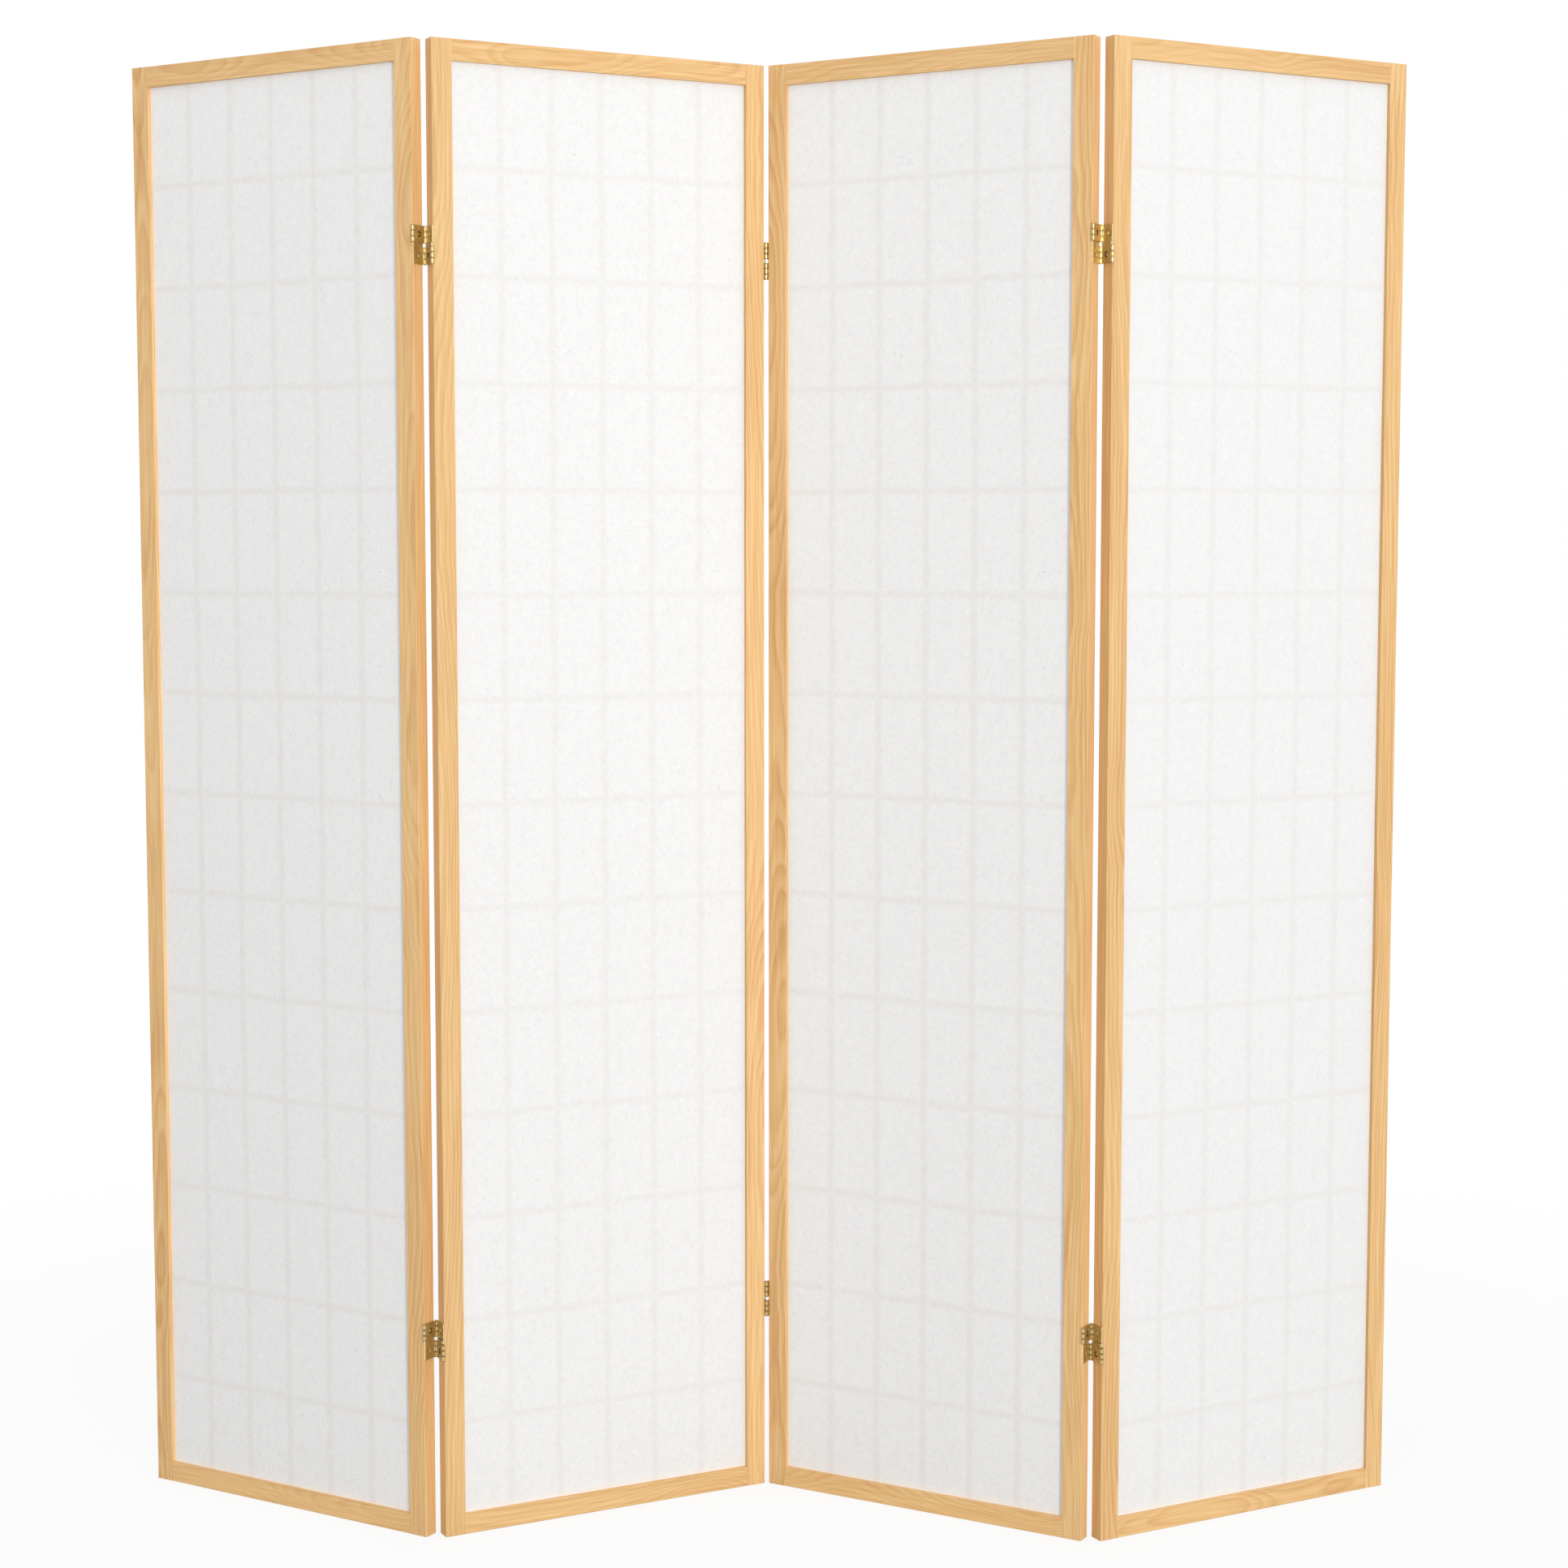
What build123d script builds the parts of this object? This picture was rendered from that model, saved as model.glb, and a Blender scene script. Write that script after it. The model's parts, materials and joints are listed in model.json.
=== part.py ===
from build123d import *
from math import cos, radians, sin
import os

# Four-panel folding screen: framed paper panels joined by double-action hinges.
# Millimetres and degrees. +X to the right along the screen, +Y to its back, +Z up.
# A panel is drawn lying along +X from its left end, front face at Y = 0, foot at Z = 0.

# Panels
screen_height = 1785.0
panel_width = 434.0
panel_thickness = 19.05
member_width = 25.2  # face width of stiles and rails
arris = 0.5  # chamfer on the outer long edges
panel_turns = (-31.0, 27.3, -30.0, 28.0)  # plan angle of each panel as the screen stands

# Stub tenons of the rails
tenon_length = 16.0
tenon_thickness = 6.35
tenon_shoulder = 5.0  # at the outer edge of the rail
mortise_wall = 1.5  # wood left between mortise and groove
mortise_end_gap = 1.0

# Paper and lattice
paper_recess = 5.2  # front face of the frame to the paper
paper_thickness = 0.4
upright_count = 5
crossbar_count = 13
bar_width = 7.0
upright_depth = 8.0
crossbar_depth = 4.0
bottom_pane_height = 109.6
groove_depth = 5.0
groove_end_gap = 0.3

# Double-action hinges
hinge_from_foot = 241.0  # to the middle of the lower hinge
hinge_from_top = 237.5  # to the middle of the upper hinge
hinge_height = 45.0
barrel_length = 20.0
leaf_thickness = 1.0
leaf_inset = 0.4  # free edge of a leaf behind the panel's face
link_thickness = 1.0
pin_diameter = 1.9
axis_proud = 2.05  # pin axis outside the panel's face
pin_play = 0.05  # radial, in the eye of a link
knuckle_play = 0.3  # between knuckle ends
link_play = 0.4  # between the two links, and a link and the other barrels
access_diameter = 6.6  # hole in a link to reach the leaf's screw behind it

# Derived sizes
opening_width = panel_width - 2 * member_width
opening_height = screen_height - 2 * member_width
pane_width = (opening_width - upright_count * bar_width) / (upright_count + 1)
pane_height = (opening_height - bottom_pane_height) / crossbar_count - bar_width
bar_front = paper_recess + paper_thickness
groove_width = paper_thickness + crossbar_depth
housed = groove_depth - groove_end_gap
tenon_height = member_width - tenon_shoulder - groove_depth - mortise_wall
knuckle_radius = pin_diameter / 2 + leaf_thickness
half_gap = knuckle_radius  # between the end faces of two panels in line, halved
front_axis = -axis_proud
rear_axis = panel_thickness + axis_proud
knuckle_length = (barrel_length - 2 * knuckle_play) / 3
screw_height = (hinge_height - barrel_length) / 2  # from the middle of the hinge
hinges = {"bottom": hinge_from_foot, "top": screen_height - hinge_from_top}

LEFT = -1
RIGHT = 1
UPPER = 1
LOWER = -1


def block(x, y, z):
    """Box between the given pairs of X, Y and Z."""
    size = [b - a for a, b in (x, y, z)]
    middle = [(a + b) / 2 for a, b in (x, y, z)]
    return Pos(*middle) * Box(*size)


def rod(radius, x, y, z):
    """Upright cylinder on the axis (x, y) between a pair of Z."""
    return Pos(x, y, (z[0] + z[1]) / 2) * Cylinder(radius, z[1] - z[0])


def upright_centres():
    pitch = pane_width + bar_width
    return [member_width + (i + 1) * pitch - bar_width / 2 for i in range(upright_count)]


def crossbar_centres():
    pitch = pane_height + bar_width
    top = screen_height - member_width
    return [top - (i + 1) * pitch + bar_width / 2 for i in range(crossbar_count)]


# Frame


def tenon_block(end_gap):
    """The tenon of the bottom rail's left end, or with an end gap its mortise."""
    middle = panel_thickness / 2
    return block(
        (member_width - tenon_length - end_gap, member_width),
        (middle - tenon_thickness / 2, middle + tenon_thickness / 2),
        (tenon_shoulder, tenon_shoulder + tenon_height),
    )


def flip_up(shape):
    """The same shape at the other end of the panel's height."""
    return Pos(0, 0, screen_height) * mirror(shape, about=Plane.XY)


def flip_across(shape):
    """The same shape at the other end of the panel's width."""
    return Pos(panel_width, 0, 0) * mirror(shape, about=Plane.YZ)


def long_edges(shape, axis, side, across):
    """The two edges along an axis on the given side of the shape."""
    return shape.edges().filter_by(axis).group_by(across)[side]


def stile_left():
    """Left stile: grooved for paper and lattice, mortised for both rails."""
    stile = block((0, member_width), (0, panel_thickness), (0, screen_height))
    stile = chamfer(long_edges(stile, Axis.Z, 0, Axis.X), arris)
    stile -= block(
        (member_width - groove_depth, member_width),
        (paper_recess, paper_recess + groove_width),
        (member_width - groove_depth, screen_height - member_width + groove_depth),
    )
    mortise = tenon_block(mortise_end_gap)
    stile -= mortise
    stile -= flip_up(mortise)
    return stile


def stile_right():
    return flip_across(stile_left())


def rail_bottom():
    """Bottom rail: butted between the stiles with a stub tenon at each end."""
    rail = block(
        (member_width, panel_width - member_width), (0, panel_thickness), (0, member_width)
    )
    rail = chamfer(long_edges(rail, Axis.X, 0, Axis.Z), arris)
    rail -= block(
        (member_width, panel_width - member_width),
        (paper_recess, paper_recess + groove_width),
        (member_width - groove_depth, member_width),
    )
    tenon = tenon_block(0)
    rail += tenon
    rail += flip_across(tenon)
    return rail


def rail_top():
    return flip_up(rail_bottom())


# Lattice and paper


def upright(centre):
    """Vertical bar, notched in front for the crossbars, with tongues in the rails."""
    x = (centre - bar_width / 2, centre + bar_width / 2)
    front = (bar_front, bar_front + crossbar_depth)
    foot, head = member_width, screen_height - member_width
    bar = block(x, (bar_front, bar_front + upright_depth), (foot, head))
    bar += block(x, front, (foot - housed, head + housed))
    for level in crossbar_centres():
        bar -= block(x, front, (level - bar_width / 2, level + bar_width / 2))
    return bar


def crossbar(level):
    """Thin horizontal bar let into the uprights, its ends in the grooves of the stiles."""
    return block(
        (member_width - housed, panel_width - member_width + housed),
        (bar_front, bar_front + crossbar_depth),
        (level - bar_width / 2, level + bar_width / 2),
    )


def paper():
    """The sheet, its margins held in the grooves on the lattice."""
    return block(
        (member_width - housed, panel_width - member_width + housed),
        (paper_recess, bar_front),
        (member_width - housed, screen_height - member_width + housed),
    )


# Hinges, drawn about the middle of the gap between two panels in line


def barrel_axis(side, level):
    """A leaf carries one upper and one lower barrel, at opposite faces of the panel."""
    return front_axis if side * level < 0 else rear_axis


def barrel_span(level):
    """Bottom and top of the upper or the lower barrel."""
    outer = level * hinge_height / 2
    inner = outer - level * barrel_length
    return min(outer, inner), max(outer, inner)


def knuckle_span(level, place):
    """Bottom and top of knuckle 0, 1 or 2 of a barrel, counted upwards."""
    bottom = barrel_span(level)[0] + place * (knuckle_length + knuckle_play)
    return bottom, bottom + knuckle_length


def curl(axis, strip, edge, z, bore=0):
    """Sheet between the X pair of strip, curled from an edge of its plate round the pin."""
    middle = Pos(0, axis)
    run = Rectangle(strip[1] - strip[0], abs(edge - axis))
    profile = middle * Circle(knuckle_radius) + Pos(sum(strip) / 2, (axis + edge) / 2) * run
    if bore:
        profile -= middle * Circle(bore)
    return extrude(Pos(0, 0, z[0]) * profile, z[1] - z[0])


def leaf(side):
    """Plate on a panel's end face, with the two knuckles and the fixed pin of each barrel."""
    strip = sorted((side * half_gap, side * (half_gap - leaf_thickness)))
    edges = {front_axis: leaf_inset, rear_axis: panel_thickness - leaf_inset}
    plate = block(strip, tuple(edges.values()), (-hinge_height / 2, hinge_height / 2))
    for level in (LOWER, UPPER):
        axis = barrel_axis(side, level)
        lower, upper = knuckle_span(level, 0), knuckle_span(level, 2)
        for span in (lower, upper):
            plate += curl(axis, strip, edges[axis], span)
        plate += rod(pin_diameter / 2, 0, axis, (lower[1], upper[0]))
    return plate


def link(level):
    """Strap in the gap from a front barrel to a rear one, with an eye on each pin."""
    strip = (-link_thickness / 2, link_thickness / 2)
    setback = knuckle_radius + link_play
    edges = {front_axis: front_axis + setback, rear_axis: rear_axis - setback}
    bottom, top = barrel_span(level)
    if level == LOWER:
        top = barrel_span(UPPER)[0] - link_play
    strap = block(strip, tuple(edges.values()), (bottom, top))
    for axis, edge in edges.items():
        strap += curl(axis, strip, edge, knuckle_span(level, 1), pin_diameter / 2 + pin_play)
    access = Rot(0, 90, 0) * Cylinder(access_diameter / 2, 2 * link_thickness)
    return strap - Pos(0, panel_thickness / 2, level * screw_height) * access


# Standing arrangement


def carry(turn, own, target):
    """Location that turns a panel and brings its own plan point onto a target."""
    c, s = cos(radians(turn)), sin(radians(turn))
    x = target[0] - own[0] * c + own[1] * s
    y = target[1] - own[0] * s - own[1] * c
    return Pos(x, y, 0) * Rot(0, 0, turn)


def plan_point(location, own):
    point = (location * Pos(own[0], own[1], 0)).position
    return point.X, point.Y


def right_axis(axis):
    return panel_width + half_gap, axis


def left_axis(axis):
    return -half_gap, axis


def panel_places():
    """Panels from left to right: ridge, valley, ridge seen from the front.

    A ridge turns on the rear pins and a valley on the front pins.
    """
    valley = (0, 0)
    second = carry(panel_turns[1], right_axis(front_axis), valley)
    third = carry(panel_turns[2], left_axis(front_axis), valley)
    left_ridge = plan_point(second, left_axis(rear_axis))
    right_ridge = plan_point(third, right_axis(rear_axis))
    first = carry(panel_turns[0], right_axis(rear_axis), left_ridge)
    fourth = carry(panel_turns[3], left_axis(rear_axis), right_ridge)
    return [first, second, third, fourth], [left_ridge, valley, right_ridge]


def panel_pieces():
    """The wooden pieces and the paper of one panel, by name."""
    return {
        "stile_left": [stile_left()],
        "stile_right": [stile_right()],
        "rail_top": [rail_top()],
        "rail_bottom": [rail_bottom()],
        "paper": [paper()],
        "lattice_uprights": [upright(centre) for centre in upright_centres()],
        "lattice_crossbars": [crossbar(level) for level in crossbar_centres()],
    }


def hinge_pieces(ridge):
    """Each hinge piece with the panel it lies against: LEFT or RIGHT of the fold."""
    upper_side = LEFT if ridge else RIGHT
    return {
        "leaf_left": (leaf(LEFT), LEFT),
        "leaf_right": (leaf(RIGHT), RIGHT),
        "link_upper": (link(UPPER), upper_side),
        "link_lower": (link(LOWER), -upper_side),
    }


def screen_nodes():
    """Every node's solids in the standing arrangement, and the body of each node."""
    places, folds = panel_places()
    nodes = {}
    bodies = {}
    for number, place in enumerate(places, start=1):
        for name, group in panel_pieces().items():
            node = f"panel_{number}_{name}"
            nodes[node] = [place * solid for solid in group]
            bodies[node] = f"panel_{number}"
    for fold in range(1, len(places)):
        ridge = fold != 2
        for hinge, height in hinges.items():
            for name, (piece, side) in hinge_pieces(ridge).items():
                number = fold if side == LEFT else fold + 1
                x = panel_width + half_gap if side == LEFT else -half_gap
                node = f"hinge_{fold}_{fold + 1}_{hinge}_{name}"
                nodes[node] = [places[number - 1] * Pos(x, 0, height) * piece]
                bodies[node] = f"panel_{number}"
    return nodes, bodies, folds


def screen_centre(nodes):
    """Middle of the plan outline of the whole screen."""
    boxes = [solid.bounding_box() for group in nodes.values() for solid in group]
    x = min(box.min.X for box in boxes) + max(box.max.X for box in boxes)
    y = min(box.min.Y for box in boxes) + max(box.max.Y for box in boxes)
    return x / 2, y / 2


def build():
    """The nodes about the middle of the screen's foot, and the fold axes there."""
    nodes, bodies, folds = screen_nodes()
    x, y = screen_centre(nodes)
    moved = {
        name: [Pos(-x, -y, 0) * solid for solid in group] for name, group in nodes.items()
    }
    axes = [(fold[0] - x, fold[1] - y) for fold in folds]
    return moved, bodies, axes


def main():
    os.makedirs("parts", exist_ok=True)
    nodes = build()[0]
    for name, group in nodes.items():
        shape = group[0] if len(group) == 1 else Compound(children=group)
        export_step(shape, f"parts/{name}.step")


if __name__ == "__main__":
    main()
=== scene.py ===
"""Looks of the four-panel shoji screen: wood, paper, brass, camera and light. Metres."""
import json
import math

import bmesh
import bpy
from mathutils import Matrix, Vector, noise


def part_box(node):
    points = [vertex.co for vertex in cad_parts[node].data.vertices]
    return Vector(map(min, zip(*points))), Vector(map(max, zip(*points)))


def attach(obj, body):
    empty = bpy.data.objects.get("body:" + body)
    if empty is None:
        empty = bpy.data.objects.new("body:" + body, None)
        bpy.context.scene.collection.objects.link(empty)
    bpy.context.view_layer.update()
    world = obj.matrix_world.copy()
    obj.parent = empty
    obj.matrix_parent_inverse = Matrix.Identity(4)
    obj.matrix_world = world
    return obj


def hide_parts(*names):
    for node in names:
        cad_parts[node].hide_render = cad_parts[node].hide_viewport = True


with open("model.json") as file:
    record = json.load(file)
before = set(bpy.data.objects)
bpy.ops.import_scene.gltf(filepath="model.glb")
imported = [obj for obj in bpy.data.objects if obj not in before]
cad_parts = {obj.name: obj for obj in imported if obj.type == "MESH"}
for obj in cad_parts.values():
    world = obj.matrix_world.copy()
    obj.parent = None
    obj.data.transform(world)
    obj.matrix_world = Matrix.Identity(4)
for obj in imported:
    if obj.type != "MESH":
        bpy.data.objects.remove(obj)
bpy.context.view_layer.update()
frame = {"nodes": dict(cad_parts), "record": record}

# The screen's own sizes, as in its construction
LATTICE_PITCH_ACROSS = 0.0649
LATTICE_PITCH_UP = 0.125
TOP_CROSSBAR = 1.6383  # height of the middle of the highest crossbar
LEAF_THICKNESS = 0.001
SCREW_HEIGHT = 0.0125  # from the middle of a hinge
HALF_GAP = 0.00195
AXIS_PROUD = 0.00205
PIN_RADIUS = 0.00095
PIN_PROUD = 0.0008

# Pieces made here
SCREW_HEAD_PROFILE = (  # radius and height, from the rim to the crown
    (0.0029, 0),
    (0.0029, 0.00006),
    (0.0026, 0.00017),
    (0.0022, 0.00026),
    (0.0017, 0.00031),
)
SCREW_HEAD_SIDES = 32
SCREW_SHARP = math.radians(50)  # an edge that turns more than this is sharp
SCREW_TURN = 0.5  # of the cross, and its step from one panel's screws to the next one's
SCREW_TURN_STEP = 0.9
RECESS_SPAN = 0.0028
RECESS_WIDTH = 0.0008
RECESS_DEPTH = 0.00028
PIN_TIP_SIDES = 24
PIN_TIP_STEPS = 6
PAPER_RIPPLE = 0.00012
PAPER_WAVES = (14, 5)  # in a metre, across and up
PAPER_HELD = 0.008  # width of the margin that is held flat
PAPER_FREES_OVER = 0.03  # from there to its full ripple
PAPER_CELLS = (24, 96)
PAPER_SHARP = math.radians(40)

# Camera, fitted to the photograph
CAMERA_PLACE = (-0.000778, -3.465302, 1.198559)
CAMERA_DOWN = 0.08406
CAMERA_RIGHT = 0.00623
CAMERA_LENS = 65.258
CAMERA_SENSOR = 36.0

# Light: a level is the brightness of a white surface that faces it
AMBIENT_LEVEL = 0.76
KEY_LEVEL = 0.36
KEY_AZIMUTH = math.radians(20)  # to the right of the camera's side
KEY_DISTANCE = 8.0
KEY_HEIGHT = 1.5
KEY_SIZE = 1.8
KEY_TARGET = Vector((0, 0, 0.9))
FLOOR_RADIUS = 6.0
FLOOR_DROP = 0.0002
FLOOR_FADE = (1.0, 2.4)
FLOOR_GREY = 0.5  # to the light that it sends back to the screen
FLOOR_WHITENED = 0.86  # share of the seen floor that is plain white
FLOOR_GRAIN_SCALE = 60.0
FLOOR_GRAIN = (0.99, 1.0)
FLOOR_ROUGHNESS = 0.9
FLOOR_SIDES = 96

LEFT, RIGHT = -1, 1
SIDE_NAMES = {LEFT: "left", RIGHT: "right"}
LOWER, UPPER = -1, 1
LEVEL_NAMES = {LOWER: "lower", UPPER: "upper"}
HINGES = ("bottom", "top")
FOLDS = ((1, 2), (2, 3), (3, 4))


class Panel:
    """A panel's own directions at rest, read from its paper: x across, y back, z up."""

    def __init__(self, number):
        self.body = f"panel_{number}"
        paper = frame["nodes"][self.node("paper")].data
        normal = max(paper.polygons, key=lambda face: face.area).normal
        front = normal if normal.y < 0 else -normal
        self.turn = math.atan2(front.x, -front.y)
        low, high = (Vector(corner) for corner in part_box(self.node("paper")))
        self.origin = Vector(((low.x + high.x) / 2, (low.y + high.y) / 2, 0))
        self.to_world = Matrix.Translation(self.origin) @ Matrix.Rotation(self.turn, 4, "Z")
        low, high = self.extent("stile_left")
        self.middle_y = (low.y + high.y) / 2

    def node(self, part):
        return f"{self.body}_{part}"

    def extent(self, part):
        """Lowest and highest corner of one of the panel's nodes in its own directions."""
        to_panel = self.to_world.inverted()
        points = [to_panel @ vertex.co for vertex in frame["nodes"][self.node(part)].data.vertices]
        low = Vector(min(point[i] for point in points) for i in range(3))
        high = Vector(max(point[i] for point in points) for i in range(3))
        return low, high


PANELS = {number: Panel(number) for number in (1, 2, 3, 4)}


# Materials: scales and rates are counts in a metre

NOISE_SPAN = (0.3, 0.7)  # holds nearly all of a noise's values
NOISE_CORE = (0.35, 0.65)  # holds most of them
NOISE_MIDDLE = (0.5, 0.5, 0.5)
SEED_STEPS = (0.37, 0.53, 0.71)  # along each axis, from one seed's noise to the next
SECOND_SEED = 0.5  # from a piece's first noise of a kind to its second


def tone(red, green, blue):
    return (red, green, blue, 1.0)


class Tree:
    """Short calls for building a material's nodes."""

    def __init__(self, name):
        self.material = bpy.data.materials.new(name)
        self.material.use_nodes = True
        self.tree = self.material.node_tree
        self.shader = self.tree.nodes["Principled BSDF"]

    def add(self, kind, inputs, **settings):
        """A node with its settings, and a value or socket for each input by name or number."""
        made = self.tree.nodes.new(kind)
        for name, value in settings.items():
            setattr(made, name, value)
        for name, value in inputs.items():
            self.put(made.inputs[name], value)
        return made

    def put(self, socket, value):
        if isinstance(value, bpy.types.NodeSocket):
            self.tree.links.new(value, socket)
        else:
            socket.default_value = value

    def set(self, name, value):
        self.put(self.shader.inputs[name], value)

    def math(self, operation, *values):
        return self.add("ShaderNodeMath", dict(enumerate(values)), operation=operation).outputs[0]

    def mean(self, *shares):
        """The sum of values, each times its share."""
        total = 0.0
        for share, value in shares:
            inputs = {0: value, 1: share, 2: total}
            total = self.add("ShaderNodeMath", inputs, operation="MULTIPLY_ADD").outputs[0]
        return total

    def map(self, value, source, target, smooth=False):
        """A value carried from one range to another, and held at its ends."""
        kind = "SMOOTHSTEP" if smooth else "LINEAR"
        inputs = {"Value": value, "From Min": source[0], "From Max": source[1]}
        inputs |= {"To Min": target[0], "To Max": target[1]}
        return self.add("ShaderNodeMapRange", inputs, interpolation_type=kind).outputs[0]

    def mix(self, factor, first, second, blend="MIX"):
        inputs = {0: factor, 6: first, 7: second}
        return self.add("ShaderNodeMix", inputs, data_type="RGBA", blend_type=blend).outputs[2]

    def shade(self, colour, value):
        """A colour made darker or lighter by a value about 1."""
        grey = self.add("ShaderNodeCombineColor", {0: value, 1: value, 2: value}).outputs[0]
        return self.mix(1.0, colour, grey, "MULTIPLY")

    def ramp(self, value, stops):
        made = self.add("ShaderNodeValToRGB", {0: value})
        elements = made.color_ramp.elements
        while len(elements) < len(stops):
            elements.new(0.5)  # each gets its own place below
        for element, (place, colour) in zip(elements, stops):
            element.position = place
            element.color = colour
        return made.outputs[0]

    def place(self, panel=None):
        """Place on the object, in a panel's own directions where one is given."""
        place = self.add("ShaderNodeTexCoord", {}).outputs["Object"]
        if panel is None:
            return place
        inputs = {"Vector": place, "Location": panel.origin, "Rotation": (0, 0, panel.turn)}
        return self.add("ShaderNodeMapping", inputs, vector_type="TEXTURE").outputs[0]

    def moved(self, place, scale=(1, 1, 1), shift=(0, 0, 0), turn=(0, 0, 0)):
        inputs = {"Vector": place, "Scale": scale, "Location": shift, "Rotation": turn}
        return self.add("ShaderNodeMapping", inputs).outputs[0]

    def noise(self, place, scale, detail=2.0, roughness=0.5, output=0):
        inputs = {"Vector": place, "Scale": scale, "Detail": detail, "Roughness": roughness}
        return self.add("ShaderNodeTexNoise", inputs).outputs[output]

    def push(self, place, scale, detail=1.0, roughness=0.5):
        """Noise about 0, of its own along each axis."""
        colour = self.noise(place, scale, detail, roughness, "Color")
        return self.vector("SUBTRACT", colour, NOISE_MIDDLE)

    def vector(self, operation, first, second=None, factor=None):
        inputs = {0: first}
        if second is not None:
            inputs[1] = second
        if factor is not None:
            inputs["Scale"] = factor
        made = self.add("ShaderNodeVectorMath", inputs, operation=operation)
        return made.outputs["Value" if operation in ("LENGTH", "DOT_PRODUCT") else "Vector"]

    def strayed(self, place, seed, reach, rate):
        """The place moved sideways within reach, and back again rate times in a metre of its Z."""
        along = self.moved(place, (0, 0, rate), [step * seed for step in SEED_STEPS])
        return self.vector("ADD", place, self.vector("SCALE", self.push(along, 1.0), factor=2 * reach))

    def bump(self, height, distance):
        self.set("Normal", self.add("ShaderNodeBump", {"Height": height, "Distance": distance}).outputs[0])


WOOD_LIGHT = tone(0.915, 0.615, 0.298)
WOOD_MIDDLE = tone(0.865, 0.550, 0.245)
WOOD_DARK = tone(0.750, 0.432, 0.171)
WOOD_RINGS = (
    (0.0, WOOD_MIDDLE),
    (0.12, WOOD_LIGHT),
    (0.50, WOOD_MIDDLE),
    (0.88, WOOD_DARK),
    (1.0, WOOD_MIDDLE),
)
STREAK_DARK = tone(0.865, 0.775, 0.685)
STREAK_LIGHT = tone(1.105, 1.175, 1.245)
BOARD_TONES = {  # against the rest of the boards
    "stile_left_3": 0.97,
    "stile_right_2": 1.06,
    "stile_right_4": 1.03,
    "rail_top_2": 1.03,
    "rail_top_3": 0.965,
    "rail_bottom_1": 1.025,
    "rail_bottom_2": 1.035,
    "rail_bottom_3": 1.035,
    "rail_bottom_4": 1.04,
}
PAINTED_SIDE_LIGHT = {"stile_left": (0.92, 1.13), "stile_right": (0.78, 1.09)}  # of its left and right sides: painted shade on the left side and painted light on the right side, as from a lamp at the right
# painted shade on faces that look down
UNDERSIDE_PAINTED_SHADE = 0.76
FACES_TOWARDS = (0.6, 0.9)  # cosines between which a face comes to count as turned one way
FACES_AWAY = (-0.9, -0.6)
RING_WIDTH = {False: 0.0034, True: 0.0026}  # in upright and in level boards
RING_VARIETY = 2.6  # rings by which their count strays
RING_VARIETY_RATE = 90.0
PITH_STRAYS = {False: (0.034, 1.7), True: (0.022, 3.6)}  # reach and rate, in upright and in level boards
GRAIN_WAVES = (0.0022, 15.0)  # reach and rate
LEVEL_GRAIN = (0, math.pi / 2, 0)
PITH_TURN = 2.4  # radians from one piece to the next
STILE_PITH = (0.030, 0.028)  # to the side, and behind the stile's middle
STILE_PITH_SWAY = 0.010
RAIL_PITH = (0.020, 0.034)
LATTICE_PITHS = {"uprights": (0.3, 0.05), "crossbars": (0.4, 0.05)}  # far off: their grain is straight
FIRST_SEEDS = {"rail_top": 9, "rail_bottom": 15, "uprights": 20, "crossbars": 24}
DRIFT_SCALE = (22, 22, 2.2)  # across, across and along the grain
DRIFT_DETAIL = 3.0
DRIFT_STEP = 0.61  # along the grain from one seed to the next
CALM = {False: (0.1, 0.6), True: (0.32, 0.76)}  # shares of the rings that the drift hides
STREAK_WAVES = (0.004, 3.0)
STREAK_STRETCH = (1, 1, 0.016)
STREAK_SCALE = 480.0
FIBRE_STRETCH = (1, 1, 0.014)
FIBRE_NOISE = (1500.0, 3.0, 0.6)  # scale, detail and roughness
GRAIN_SHARES = (0.4, 0.3, 0.3)  # of the streaks, the fibres and the drift
GRAIN_SPAN = (0.36, 0.64)
WOOD_ROUGHNESS = (0.42, 0.54)
WOOD_SPECULAR = 0.3
FIBRE_DEPTH = 0.00006


def ring_places(tree, place, pith, seed, level):
    """How far each point lies through its year ring, from 0 to 1, where the pith wanders."""
    wandering = tree.strayed(place, seed, *PITH_STRAYS[level])
    bent = tree.strayed(wandering, seed + SECOND_SEED, *GRAIN_WAVES)
    across = tree.moved(bent, (1, 1, 0), (-pith[0], -pith[1], 0))
    radius = tree.vector("LENGTH", across)
    years = {"W": radius, "Scale": RING_VARIETY_RATE, "Detail": 1.0}
    uneven = tree.add("ShaderNodeTexNoise", years, noise_dimensions="1D").outputs[0]
    strays = tree.math("MULTIPLY", uneven, RING_VARIETY)
    return tree.math("FRACT", tree.math("ADD", tree.math("DIVIDE", radius, RING_WIDTH[level]), strays))


def board_tone_and_painted_light(tree, board, panel):
    """How light a board is: each has its own tone; painted shade darkens its underside, and on the stiles
    painted shade darkens the left side and painted light lightens the right side.
    """
    own = BOARD_TONES.get(board, 1.0)
    left, right = PAINTED_SIDE_LIGHT.get(board.rsplit("_", 1)[0], (1.0, 1.0))
    normal = tree.add("ShaderNodeTexCoord", {}).outputs["Normal"]
    up = tree.add("ShaderNodeSeparateXYZ", {"Vector": normal}).outputs["Z"]
    across = tree.vector("DOT_PRODUCT", normal, (math.cos(panel.turn), math.sin(panel.turn), 0))
    under = tree.map(up, FACES_AWAY, (own * UNDERSIDE_PAINTED_SHADE, own))
    leftward = tree.map(across, FACES_AWAY, (left, 1.0))
    rightward = tree.map(across, FACES_TOWARDS, (1.0, right))
    return tree.math("MULTIPLY", under, tree.math("MULTIPLY", leftward, rightward))


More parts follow.
